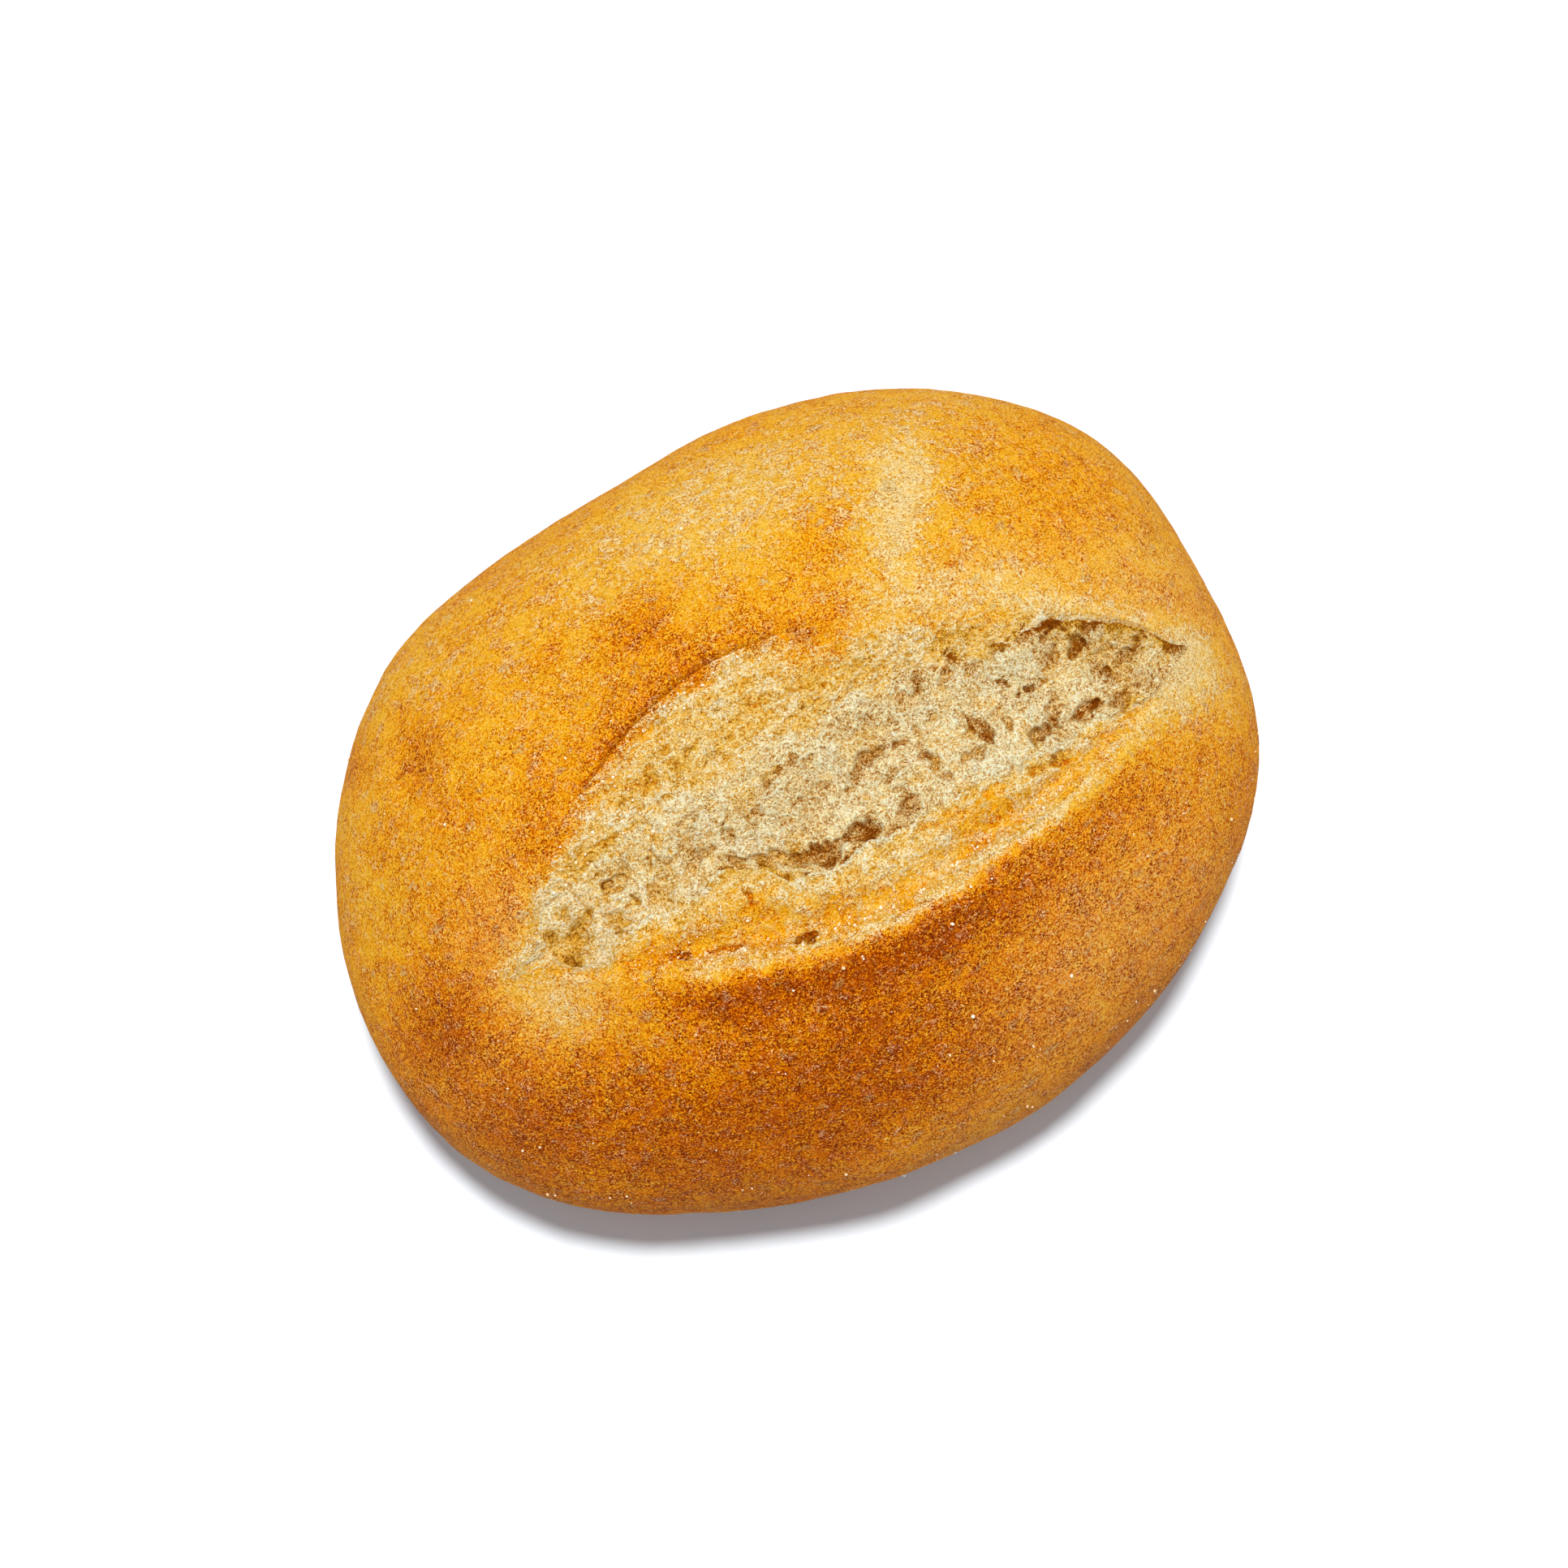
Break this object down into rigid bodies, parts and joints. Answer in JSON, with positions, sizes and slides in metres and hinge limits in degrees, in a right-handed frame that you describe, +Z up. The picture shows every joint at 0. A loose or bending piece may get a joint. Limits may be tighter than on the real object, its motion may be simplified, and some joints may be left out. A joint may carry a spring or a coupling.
{
  "type": "french roll",
  "caption": "Oval baked wheat roll with a golden crust, a flat heel, and a torn split along its top that shows pale crumb.",
  "frame": {"origin": "middle of the roll's box in plan, on the surface that its heel stands on", "axes": "+X along the roll, towards the end where the tear runs out nearest the rim; +Y across it, towards the overhanging lip; +Z up"},
  "size_m": [0.107, 0.0846, 0.0515],
  "materials": {
    "baked_crust": "golden brown wheat crust, dull satin, with pale cream crumb in the split"
  },
  "bodies": {
    "root": {"roll": "baked_crust"}
  },
  "joints": []
}
